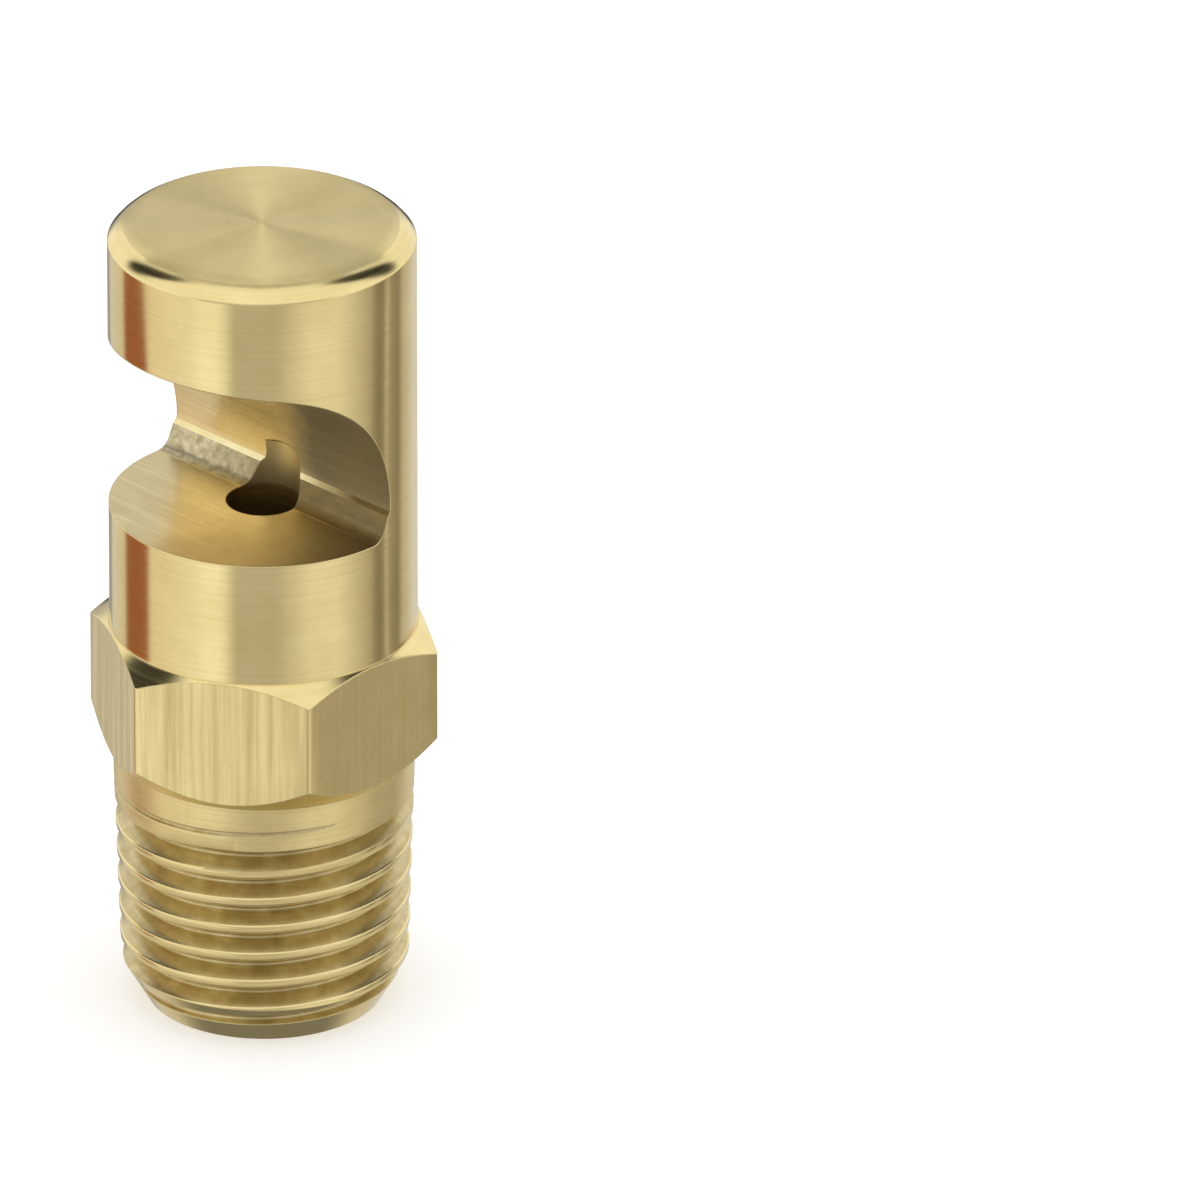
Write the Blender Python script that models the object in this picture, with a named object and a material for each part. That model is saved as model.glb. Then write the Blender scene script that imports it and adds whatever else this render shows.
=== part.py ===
"""Flat-spray deflector nozzle in brass, with its metering set and inlet strainer.

The body is one turned and milled piece: a threaded shank, a hex, and a round head with a spray slot.
The inner pieces go in through the inlet, one after another, and are held by the lock screw.
Metres, +Z up along the nozzle's axis, origin at the centre of the inlet face, spray towards -Y.
"""

import math

import bmesh
import bpy
from mathutils import Matrix, Vector

MM = 0.001

# Facets of round surfaces
BODY_SIDES = 48
INNER_SIDES = 24
ARC_STEPS = 10
SHARP_ANGLE = math.radians(25)

# Clearances between pieces
SEAT_GAP = 0.05 * MM
SLIDE_GAP = 0.10 * MM
THREAD_GAP = 0.10 * MM

# How far a cutter stands past the surface that it opens, and a thread's flank past its crest
CUT_MARGIN = 0.6 * MM
FLANK_MARGIN = 0.04 * MM

# Lengths along the axis, from the inlet face up
SHANK_LENGTH = 12.4 * MM
HEX_LENGTH = 6.4 * MM
FOOT_LENGTH = 6.0 * MM
HEAD_LENGTH = 14.0 * MM

# Hex and head
HEX_ACROSS_FLATS = 14.29 * MM
HEX_LEDGE = 0.05 * MM
HEX_TOP_CHAMFER_ANGLE = math.radians(35)
HEX_UNDER_CHAMFER_ANGLE = math.radians(45)
HEAD_DIAMETER = 14.1 * MM
HEAD_CHAMFER = 0.7 * MM

# Tapered pipe thread, quarter inch with 18 threads to the inch, and the plain neck above it
PIPE_PITCH = 25.4 / 18 * MM
PIPE_PITCH_DIAMETER = 12.126 * MM
PIPE_TAPER = 1 / 16
PIPE_CREST_FLAT = 0.16 * MM
PIPE_ROOT_FLAT = 0.15 * MM
PIPE_RUN_OUT_TURNS = 1.2
FLANK_ANGLE = math.radians(30)
NECK_LENGTH = 1.1 * MM
INLET_CHAMFER_LENGTH = 2.0 * MM
INLET_CHAMFER_ANGLE = math.radians(30)

# Spray slot: floor, low slanted strip with a round foot, step, and curved deflector with a straight lip
STRIP_FOOT_SETBACK = 0.65 * MM
STRIP_SETBACK = 1.1 * MM
STRIP_HEIGHT = 1.12 * MM
STRIP_FILLET = 0.8 * MM
STRIP_STEP = 0.2 * MM
DEFLECTOR_START = 1.52 * MM
DEFLECTOR_RADIUS = 6.85 * MM
LIP_ANGLE = math.radians(9)

# Outlet drilled from the inlet end, running on into the slot's wall
OUTLET_DIAMETER = 3.4 * MM
OUTLET_LENGTH = 5.4 * MM
OUTLET_OVERRUN = 2.2 * MM
DRILL_POINT_ANGLE = math.radians(59)

# Tapped hole for the lock screw, with the inlet bore below it
TAPPED_MAJOR_DIAMETER = 8.0 * MM
TAPPED_PITCH = 1.0 * MM
TAPPED_CREST_FLAT = 0.2 * MM
TAPPED_ROOT_FLAT = 0.18 * MM
INLET_BORE_CHAMFER = 0.3 * MM
BORE_SHOULDER_DROP = 0.35 * MM

# Metering set
WASHER_THICKNESS = 0.5 * MM
WASHER_BORE = 4.0 * MM
DISC_THICKNESS = 1.2 * MM
DISC_ORIFICE = 0.9 * MM
DISC_ORIFICE_LENGTH = 0.4 * MM
DISC_COUNTERSINK = 2.2 * MM
SCREW_LENGTH = 5.0 * MM
SCREW_BORE = 3.0 * MM
SCREW_ROOT_FLAT = 0.2 * MM
SCREW_END_CHAMFER = 0.6 * MM
SCREW_SOCKET_DIAMETER = 5.0 * MM
SCREW_SOCKET_DEPTH = 2.0 * MM
SCREW_SLOT_WIDTH = 1.0 * MM
SCREW_SLOT_DEPTH = 1.2 * MM

# Inlet strainer
SCREEN_DIAMETER = 5.8 * MM
SCREEN_WALL = 0.3 * MM
SCREEN_LENGTH = 6.0 * MM
SCREEN_END_BAND = 1.2 * MM
SCREEN_SLOTS = 10
SCREEN_SLOT_WIDTH = 0.5 * MM
SPIGOT_LENGTH = 0.8 * MM
COLLAR_OVERHANG = 0.3 * MM
COLLAR_THICKNESS = 1.0 * MM
COLLAR_BORE = 3.0 * MM
CAP_OVERHANG = 0.2 * MM
CAP_THICKNESS = 0.9 * MM
CAP_CHAMFER = 0.3 * MM

# Levels along the axis that several pieces share
HEX_TOP = SHANK_LENGTH + HEX_LENGTH
SLOT_FLOOR = HEX_TOP + FOOT_LENGTH
HEAD_TOP = SLOT_FLOOR + HEAD_LENGTH
DISC_SEAT = SLOT_FLOOR - OUTLET_LENGTH
WASHER_BASE = DISC_SEAT - SEAT_GAP - WASHER_THICKNESS
DISC_BASE = WASHER_BASE - SEAT_GAP - DISC_THICKNESS
SCREW_BASE = DISC_BASE - SEAT_GAP - SCREW_LENGTH
BORE_SHOULDER = SCREW_BASE - BORE_SHOULDER_DROP
COLLAR_BASE = SCREW_BASE - SEAT_GAP - COLLAR_THICKNESS
SCREEN_BASE = COLLAR_BASE - SEAT_GAP - SCREEN_LENGTH
CAP_BASE = SCREEN_BASE - SEAT_GAP - CAP_THICKNESS

# Thread depths and radii that several pieces share
PIPE_DEPTH = (PIPE_PITCH - PIPE_CREST_FLAT - PIPE_ROOT_FLAT) / 2 / math.tan(FLANK_ANGLE)
PIPE_THREAD_LENGTH = SHANK_LENGTH - NECK_LENGTH
PIPE_ROOT_RADIUS = (PIPE_PITCH_DIAMETER - PIPE_DEPTH) / 2
PIPE_CREST_RADIUS = PIPE_ROOT_RADIUS + PIPE_DEPTH
NECK_RADIUS = PIPE_CREST_RADIUS + PIPE_THREAD_LENGTH * PIPE_TAPER / 2
HEAD_RADIUS = HEAD_DIAMETER / 2
TAPPED_DEPTH = (TAPPED_PITCH - TAPPED_CREST_FLAT - TAPPED_ROOT_FLAT) / 2 / math.tan(FLANK_ANGLE)
TAPPED_MAJOR_RADIUS = TAPPED_MAJOR_DIAMETER / 2
TAPPED_MINOR_RADIUS = TAPPED_MAJOR_RADIUS - TAPPED_DEPTH
TAPPED_START = BORE_SHOULDER - TAPPED_PITCH
INSERT_RADIUS = TAPPED_MINOR_RADIUS - SLIDE_GAP
SCREEN_BORE_RADIUS = SCREEN_DIAMETER / 2 - SCREEN_WALL


def clear_scene():
    for obj in list(bpy.data.objects):
        bpy.data.objects.remove(obj, do_unlink=True)


def metal(name, colour, roughness):
    made = bpy.data.materials.new(name)
    made.use_nodes = True
    shader = made.node_tree.nodes["Principled BSDF"]
    shader.inputs["Base Color"].default_value = (*colour, 1)
    shader.inputs["Metallic"].default_value = 1
    shader.inputs["Roughness"].default_value = roughness
    return made


def add_object(name, bm, material=None, parent=None, level=0.0):
    """One object from a bmesh, with its own origin at the given level on the axis."""
    bmesh.ops.remove_doubles(bm, verts=bm.verts, dist=1e-7)
    bmesh.ops.recalc_face_normals(bm, faces=bm.faces)
    mesh = bpy.data.meshes.new(name)
    bm.to_mesh(mesh)
    bm.free()
    mesh.shade_smooth()
    mesh.set_sharp_from_angle(angle=SHARP_ANGLE)
    if material:
        mesh.materials.append(material)
    obj = bpy.data.objects.new(name, mesh)
    obj.parent = parent
    obj.location.z = level
    bpy.context.scene.collection.objects.link(obj)
    return obj


def turned(outline, sides):
    """A bmesh turned about Z from (radius, height) points: from axis to axis, or a closed ring."""
    bm = bmesh.new()
    verts = [bm.verts.new((radius, 0, height)) for radius, height in outline]
    edges = [bm.edges.new(pair) for pair in zip(verts, verts[1:])]
    if outline[0][0] > 0:
        edges.append(bm.edges.new((verts[-1], verts[0])))
    bmesh.ops.spin(
        bm,
        geom=verts + edges,
        cent=(0, 0, 0),
        axis=(0, 0, 1),
        angle=math.tau,
        steps=sides,
        use_merge=True,
    )
    return bm


def prism(corners, sweep):
    """A bmesh extruded from a flat ring of corners along a sweep vector."""
    bm = bmesh.new()
    face = bm.faces.new([bm.verts.new(corner) for corner in corners])
    swept = bmesh.ops.extrude_face_region(bm, geom=[face])["geom"]
    moved = [item for item in swept if isinstance(item, bmesh.types.BMVert)]
    bmesh.ops.translate(bm, vec=sweep, verts=moved)
    return bm


def across_slot(outline, reach):
    """A bmesh with the given (y, z) outline that runs from -reach to reach along X."""
    return prism([(-reach, y, z) for y, z in outline], (2 * reach, 0, 0))


def arc(centre, radius, start, end):
    """Points along a circle, both ends included."""
    for step in range(ARC_STEPS + 1):
        angle = start + (end - start) * step / ARC_STEPS
        yield centre[0] + radius * math.cos(angle), centre[1] + radius * math.sin(angle)


def thread_cutter(tip_radius, tip_flat, depth, outward, pitch, start, turns, sides):
    """A right-hand helical cutter of trapezoid section, which leaves a 60 degree thread.

    tip_radius(turn) is the radius of the groove's bottom, and outward is 1 for a groove that opens
    away from the axis and -1 for one that opens towards it. Its rings stand half a facet away from
    the edges of the round piece that it cuts, so that no edge meets another end to end.
    """
    flank = depth + FLANK_MARGIN
    mouth = tip_flat / 2 + flank * math.tan(FLANK_ANGLE)
    half = [(0, tip_flat / 2), (flank, mouth), (flank + CUT_MARGIN, mouth)]
    section = half + [(away, -rise) for away, rise in reversed(half)]
    half_facet = math.pi / sides
    bm = bmesh.new()
    rings = []
    for step in range(math.ceil(turns * sides) + 1):
        turn = step / sides
        tip = tip_radius(turn)
        height = start + pitch * turn
        spin = Matrix.Rotation(math.tau * turn + half_facet, 3, "Z")
        points = [spin @ Vector((tip + outward * away, 0, height + rise)) for away, rise in section]
        rings.append([bm.verts.new(point) for point in points])
    for lower, upper in zip(rings, rings[1:]):
        for i, corner in enumerate(lower):
            bm.faces.new((lower[i - 1], corner, upper[i], upper[i - 1]))
    bm.faces.new(rings[0])
    bm.faces.new(rings[-1])
    return bm


def combine(target, tool, operation):
    """A live Boolean of a hidden tool on its target."""
    tool.hide_render = True
    tool.display_type = "WIRE"
    tool.parent = target
    modifier = target.modifiers.new(tool.name, "BOOLEAN")
    modifier.operation = operation
    modifier.solver = "EXACT"
    modifier.object = tool


def sharp_by_angle():
    """A node group that shades smooth up to the sharp angle, for meshes made by Booleans."""
    tree = bpy.data.node_groups.new("sharp_by_angle", "GeometryNodeTree")
    tree.interface.new_socket("Geometry", in_out="INPUT", socket_type="NodeSocketGeometry")
    tree.interface.new_socket("Geometry", in_out="OUTPUT", socket_type="NodeSocketGeometry")
    source = tree.nodes.new("NodeGroupInput")
    angle = tree.nodes.new("GeometryNodeInputMeshEdgeAngle")
    above = tree.nodes.new("FunctionNodeCompare")
    above.operation = "GREATER_THAN"
    above.inputs["B"].default_value = SHARP_ANGLE
    shade = tree.nodes.new("GeometryNodeSetShadeSmooth")
    shade.domain = "EDGE"
    shade.inputs["Shade Smooth"].default_value = False
    result = tree.nodes.new("NodeGroupOutput")
    tree.links.new(angle.outputs["Unsigned Angle"], above.inputs["A"])
    tree.links.new(above.outputs["Result"], shade.inputs["Selection"])
    tree.links.new(source.outputs["Geometry"], shade.inputs["Geometry"])
    tree.links.new(shade.outputs["Geometry"], result.inputs["Geometry"])
    return tree


def body_core():
    """The turned core of the body, bored from the inlet end.

    Inside, from the drill point down: the outlet, which runs on into the slot's wall, the seat and
    hole of the metering set, and the inlet bore. Outside, from the inlet face up: the chamfer, the
    tapered blank of the thread, the neck and the head.
    """
    outlet = OUTLET_DIAMETER / 2
    drill_end = SLOT_FLOOR + OUTLET_OVERRUN
    bore = TAPPED_MAJOR_RADIUS + SLIDE_GAP
    chamfer_end = PIPE_CREST_RADIUS + INLET_CHAMFER_LENGTH * PIPE_TAPER / 2
    inlet_face = chamfer_end - INLET_CHAMFER_LENGTH * math.tan(INLET_CHAMFER_ANGLE)
    inside_hex = SHANK_LENGTH + HEX_LENGTH / 2
    outline = [
        (0, drill_end + outlet / math.tan(DRILL_POINT_ANGLE)),
        (outlet, drill_end),
        (outlet, DISC_SEAT),
        (TAPPED_MINOR_RADIUS, DISC_SEAT),
        (TAPPED_MINOR_RADIUS, BORE_SHOULDER + bore - TAPPED_MINOR_RADIUS),
        (bore, BORE_SHOULDER),
        (bore, INLET_BORE_CHAMFER),
        (bore + INLET_BORE_CHAMFER, 0),
        (inlet_face, 0),
        (chamfer_end, INLET_CHAMFER_LENGTH),
        (NECK_RADIUS, PIPE_THREAD_LENGTH),
        (NECK_RADIUS, inside_hex),
        (HEAD_RADIUS, inside_hex),
        (HEAD_RADIUS, HEAD_TOP - HEAD_CHAMFER),
        (HEAD_RADIUS - HEAD_CHAMFER, HEAD_TOP),
        (0, HEAD_TOP),
    ]
    return turned(outline, BODY_SIDES)


def hex_collar():
    """The hex, with a corner on each side of the spray plane, turned to a cone above and below."""
    corner = HEX_ACROSS_FLATS / 2 / math.cos(math.pi / 6)
    ring = [(corner * math.sin(math.tau * k / 6), corner * math.cos(math.tau * k / 6)) for k in range(6)]
    base = SHANK_LENGTH - 2 * CUT_MARGIN
    collar = prism([(x, y, base) for x, y in ring], (0, 0, HEX_LENGTH + 4 * CUT_MARGIN))
    rim = corner + CUT_MARGIN
    root = min(NECK_RADIUS, HEAD_RADIUS) - CUT_MARGIN
    under = math.tan(HEX_UNDER_CHAMFER_ANGLE)
    ledge = HEAD_RADIUS + HEX_LEDGE
    over = math.tan(HEX_TOP_CHAMFER_ANGLE)
    cones = [
        (root, SHANK_LENGTH + (root - NECK_RADIUS) * under),
        (rim, SHANK_LENGTH + (rim - NECK_RADIUS) * under),
        (rim, HEX_TOP - (rim - ledge) * over),
        (ledge, HEX_TOP),
        (root, HEX_TOP),
    ]
    blank = turned(cones, BODY_SIDES)
    half_facet = Matrix.Rotation(math.pi / BODY_SIDES, 3, "Z")
    bmesh.ops.rotate(blank, cent=(0, 0, 0), matrix=half_facet, verts=blank.verts)
    hexagon = add_object("hex_collar", collar)
    combine(hexagon, add_object("hex_chamfers", blank), "INTERSECT")
    return hexagon


def pipe_thread_cutter():
    """The groove of the tapered pipe thread, which runs out to the neck at its upper end."""
    start = -PIPE_PITCH
    turns = (PIPE_THREAD_LENGTH - start) / PIPE_PITCH

    def root_radius(turn):
        height = start + PIPE_PITCH * turn
        run_out = max(0, turn - turns + PIPE_RUN_OUT_TURNS) / PIPE_RUN_OUT_TURNS
        return PIPE_ROOT_RADIUS + height * PIPE_TAPER / 2 + run_out * (PIPE_DEPTH + FLANK_MARGIN)

    return thread_cutter(root_radius, PIPE_ROOT_FLAT, PIPE_DEPTH, 1, PIPE_PITCH, start, turns, BODY_SIDES)


def slot_cutter():
    """The spray slot, milled across the head: floor, strip, step, deflector arc and lip."""
    reach = HEAD_RADIUS + CUT_MARGIN
    wall = STRIP_SETBACK + STRIP_STEP
    slope = math.atan2(STRIP_HEIGHT, STRIP_SETBACK - STRIP_FOOT_SETBACK)
    foot = (STRIP_FOOT_SETBACK - STRIP_FILLET * math.tan(slope / 2), SLOT_FLOOR + STRIP_FILLET)
    centre = (wall - DEFLECTOR_RADIUS, SLOT_FLOOR + DEFLECTOR_START)
    deflector = list(arc(centre, DEFLECTOR_RADIUS, 0, math.pi / 2 - LIP_ANGLE))
    lip_y, lip_z = deflector[-1]
    outline = [
        (-reach, SLOT_FLOOR),
        *arc(foot, STRIP_FILLET, -math.pi / 2, slope - math.pi / 2),
        (STRIP_SETBACK, SLOT_FLOOR + STRIP_HEIGHT),
        (wall, SLOT_FLOOR + STRIP_HEIGHT),
        *deflector,
        (-reach, lip_z + (reach + lip_y) * math.tan(LIP_ANGLE)),
    ]
    return across_slot(outline, reach)


def tap_cutter():
    """The groove of the tapped hole, from the inlet bore up past the lock screw's end."""
    turns = (DISC_BASE + TAPPED_PITCH / 2 - TAPPED_START) / TAPPED_PITCH
    return thread_cutter(lambda turn: TAPPED_MAJOR_RADIUS, TAPPED_ROOT_FLAT, TAPPED_DEPTH, -1,
                         TAPPED_PITCH, TAPPED_START, turns, BODY_SIDES)


def nozzle_body(material, parent):
    """Turned and bored core with its hex, then slotted, threaded and tapped."""
    body = add_object("nozzle_body", body_core(), material, parent)
    combine(body, hex_collar(), "UNION")
    combine(body, add_object("spray_slot", slot_cutter()), "DIFFERENCE")
    combine(body, add_object("pipe_thread", pipe_thread_cutter()), "DIFFERENCE")
    combine(body, add_object("tapped_thread", tap_cutter()), "DIFFERENCE")


def disc_washer(material, parent):
    outline = [
        (WASHER_BORE / 2, 0),
        (INSERT_RADIUS, 0),
        (INSERT_RADIUS, WASHER_THICKNESS),
        (WASHER_BORE / 2, WASHER_THICKNESS),
    ]
    add_object("disc_washer", turned(outline, INNER_SIDES), material, parent, WASHER_BASE)


def orifice_disc(material, parent):
    """The metering disc: a short orifice on the outlet side, and a countersink that leads into it."""
    outline = [
        (DISC_COUNTERSINK / 2, 0),
        (INSERT_RADIUS, 0),
        (INSERT_RADIUS, DISC_THICKNESS),
        (DISC_ORIFICE / 2, DISC_THICKNESS),
        (DISC_ORIFICE / 2, DISC_THICKNESS - DISC_ORIFICE_LENGTH),
    ]
    add_object("orifice_disc", turned(outline, INNER_SIDES), material, parent, DISC_BASE)


def screw_thread_cutter():
    """The lock screw's groove, half a pitch from the tapped hole's, so that the two threads mesh."""
    start = TAPPED_START + TAPPED_PITCH / 2 - SCREW_BASE
    turns = (SCREW_LENGTH + TAPPED_PITCH - start) / TAPPED_PITCH
    return thread_cutter(lambda turn: TAPPED_MINOR_RADIUS - THREAD_GAP, SCREW_ROOT_FLAT, TAPPED_DEPTH, 1,
                         TAPPED_PITCH, start, turns, INNER_SIDES)


def lock_screw(material, parent):
    """Hollow screw with a screwdriver slot, and a socket in its inlet end for the strainer."""
    crest = TAPPED_MAJOR_RADIUS - THREAD_GAP
    socket = SCREW_SOCKET_DIAMETER / 2
    outline = [
        (socket, 0),
        (crest - SCREW_END_CHAMFER, 0),
        (crest, SCREW_END_CHAMFER),
        (crest, SCREW_LENGTH - SCREW_END_CHAMFER),
        (crest - SCREW_END_CHAMFER, SCREW_LENGTH),
        (SCREW_BORE / 2, SCREW_LENGTH),
        (SCREW_BORE / 2, SCREW_SOCKET_DEPTH),
        (socket, SCREW_SOCKET_DEPTH),
    ]
    screw = add_object("lock_screw", turned(outline, INNER_SIDES), material, parent, SCREW_BASE)
    half = SCREW_SLOT_WIDTH / 2
    slot = [(-half, -CUT_MARGIN), (half, -CUT_MARGIN), (half, SCREW_SLOT_DEPTH), (-half, SCREW_SLOT_DEPTH)]
    combine(screw, add_object("driver_slot", across_slot(slot, crest + CUT_MARGIN)), "DIFFERENCE")
    combine(screw, add_object("screw_thread", screw_thread_cutter()), "DIFFERENCE")


def strainer_collar(material, parent):
    """Flanged collar: a spigot up into the lock screw's socket, and one down into the screen."""
    upper = SCREW_SOCKET_DIAMETER / 2 - SEAT_GAP
    lower = SCREEN_BORE_RADIUS - SEAT_GAP
    flange = SCREEN_DIAMETER / 2 + COLLAR_OVERHANG
    top = COLLAR_THICKNESS + SCREW_SOCKET_DEPTH - SEAT_GAP
    outline = [
        (COLLAR_BORE / 2, -SPIGOT_LENGTH),
        (lower, -SPIGOT_LENGTH),
        (lower, 0),
        (flange, 0),
        (flange, COLLAR_THICKNESS),
        (upper, COLLAR_THICKNESS),
        (upper, top),
        (COLLAR_BORE / 2, top),
    ]
    add_object("strainer_collar", turned(outline, INNER_SIDES), material, parent, COLLAR_BASE)


def strainer_screen(material, parent):
    """Thin sleeve with long slots all round."""
    outer = SCREEN_DIAMETER / 2
    outline = [
        (SCREEN_BORE_RADIUS, 0),
        (outer, 0),
        (outer, SCREEN_LENGTH),
        (SCREEN_BORE_RADIUS, SCREEN_LENGTH),
    ]
    screen = add_object("strainer_screen", turned(outline, INNER_SIDES), material, parent, SCREEN_BASE)
    depth = SCREEN_WALL + 2 * CUT_MARGIN
    length = SCREEN_LENGTH - 2 * SCREEN_END_BAND
    slots = bmesh.new()
    for k in range(SCREEN_SLOTS):
        place = (
            Matrix.Rotation(math.tau * k / SCREEN_SLOTS, 4, "Z")
            @ Matrix.Translation((outer - SCREEN_WALL / 2, 0, SCREEN_LENGTH / 2))
            @ Matrix.Diagonal((depth, SCREEN_SLOT_WIDTH, length, 1))
        )
        bmesh.ops.create_cube(slots, size=1, matrix=place)
    combine(screen, add_object("screen_slots", slots), "DIFFERENCE")


def strainer_cap(material, parent):
    """Cap with a chamfered rim, and a spigot up into the screen."""
    spigot = SCREEN_BORE_RADIUS - SEAT_GAP
    rim = SCREEN_DIAMETER / 2 + CAP_OVERHANG
    outline = [
        (0, 0),
        (rim - CAP_CHAMFER, 0),
        (rim, CAP_CHAMFER),
        (rim, CAP_THICKNESS),
        (spigot, CAP_THICKNESS),
        (spigot, CAP_THICKNESS + SPIGOT_LENGTH),
        (0, CAP_THICKNESS + SPIGOT_LENGTH),
    ]
    add_object("strainer_cap", turned(outline, INNER_SIDES), material, parent, CAP_BASE)


def build():
    clear_scene()
    brass = metal("machined brass", (0.76, 0.60, 0.30), 0.25)
    steel = metal("stainless steel", (0.62, 0.61, 0.58), 0.3)
    copper = metal("soft copper", (0.78, 0.42, 0.28), 0.4)
    nozzle = bpy.data.objects.new("nozzle", None)
    bpy.context.scene.collection.objects.link(nozzle)
    nozzle_body(brass, nozzle)
    disc_washer(copper, nozzle)
    orifice_disc(steel, nozzle)
    lock_screw(brass, nozzle)
    strainer_collar(brass, nozzle)
    strainer_screen(steel, nozzle)
    strainer_cap(brass, nozzle)
    tree = sharp_by_angle()
    for piece in nozzle.children:
        piece.modifiers.new("sharp_by_angle", "NODES").node_group = tree


build()
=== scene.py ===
import math

import bmesh
import bpy
from mathutils import Matrix, Vector


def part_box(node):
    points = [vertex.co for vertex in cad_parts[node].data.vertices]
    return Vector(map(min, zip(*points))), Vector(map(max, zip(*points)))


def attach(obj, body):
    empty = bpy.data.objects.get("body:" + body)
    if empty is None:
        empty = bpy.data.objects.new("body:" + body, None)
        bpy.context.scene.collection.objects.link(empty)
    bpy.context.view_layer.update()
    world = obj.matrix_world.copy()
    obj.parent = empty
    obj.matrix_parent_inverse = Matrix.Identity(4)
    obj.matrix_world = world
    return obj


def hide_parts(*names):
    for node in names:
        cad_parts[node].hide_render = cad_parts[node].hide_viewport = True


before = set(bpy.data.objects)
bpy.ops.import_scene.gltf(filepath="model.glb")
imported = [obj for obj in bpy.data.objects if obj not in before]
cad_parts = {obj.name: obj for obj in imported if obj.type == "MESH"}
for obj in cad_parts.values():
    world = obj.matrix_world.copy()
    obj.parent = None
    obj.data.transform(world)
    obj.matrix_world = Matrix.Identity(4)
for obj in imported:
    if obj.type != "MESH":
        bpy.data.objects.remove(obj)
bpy.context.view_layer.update()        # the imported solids, in metres, +Z up the nozzle's axis
mm = 0.001


def linear(hexText):        # sRGB hex to a linear colour
    shares = [int(hexText[i:i + 2], 16) / 255 for i in (1, 3, 5)]
    return (*[s / 12.92 if s <= 0.04045 else ((s + 0.055) / 1.055) ** 2.4 for s in shares], 1)


def addNode(tree, kind, links=None, values=None, **settings):
    node = tree.nodes.new(kind)
    for key, value in settings.items():
        setattr(node, key, value)
    for key, value in (values or {}).items():
        node.inputs[key].default_value = value
    for key, source in (links or {}).items():
        tree.links.new(source, node.inputs[key])
    return node


# Finishes. Each tool leaves its own lay of lines, and that is what the eye reads on bare metal.

def streaks(tree, place, spacing, detail):        # lines, with their spacing in mm along X, Y and Z
    stretch = [1 / (gap * mm) for gap in spacing]
    laid = addNode(tree, "ShaderNodeMapping", {"Vector": place}, {"Scale": stretch})
    return addNode(tree, "ShaderNodeTexNoise", {"Vector": laid.outputs[0]}, {"Scale": 1, "Detail": detail})


def turnedLay(tree, place, normal, finish):        # rings round the axis, from the tool's feed
    lines = streaks(tree, place, (finish["run"], finish["run"], finish["line"]), 3)
    ring = addNode(tree, "ShaderNodeVectorMath", {1: place}, {0: (0, 0, 1)}, operation="CROSS_PRODUCT")
    return lines, addNode(tree, "ShaderNodeVectorMath", {0: normal, 1: ring.outputs[0]},
                          operation="CROSS_PRODUCT")


def facedLay(tree, place, normal, finish):        # circles on a flat end, from the facing cut
    flat = addNode(tree, "ShaderNodeMapping", {"Vector": place}, {"Scale": (1, 1, 0)})
    reach = addNode(tree, "ShaderNodeVectorMath", {0: flat.outputs[0]}, operation="LENGTH")
    count = addNode(tree, "ShaderNodeMath", {0: reach.outputs["Value"]},
                    {1: 1 / (finish["line"] * mm)}, operation="MULTIPLY")
    lines = addNode(tree, "ShaderNodeTexNoise", {"W": count.outputs[0]}, {"Scale": 1, "Detail": 3},
                    noise_dimensions="1D")
    return lines, flat


def drawnLay(tree, place, normal, finish):        # streaks along the axis, from the drawing die
    lines = streaks(tree, place, (finish["line"], finish["line"], finish["run"]), 4)
    return lines, addNode(tree, "ShaderNodeVectorMath", {0: normal}, {1: (0, 0, 1)},
                          operation="CROSS_PRODUCT")


def milledLay(tree, place, normal, finish):        # streaks along X, the way the cutter was fed
    lines = streaks(tree, place, (finish["run"], finish["line"], finish["line"]), 4)
    return lines, addNode(tree, "ShaderNodeVectorMath", {0: normal}, {1: (1, 0, 0)},
                          operation="CROSS_PRODUCT")


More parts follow.
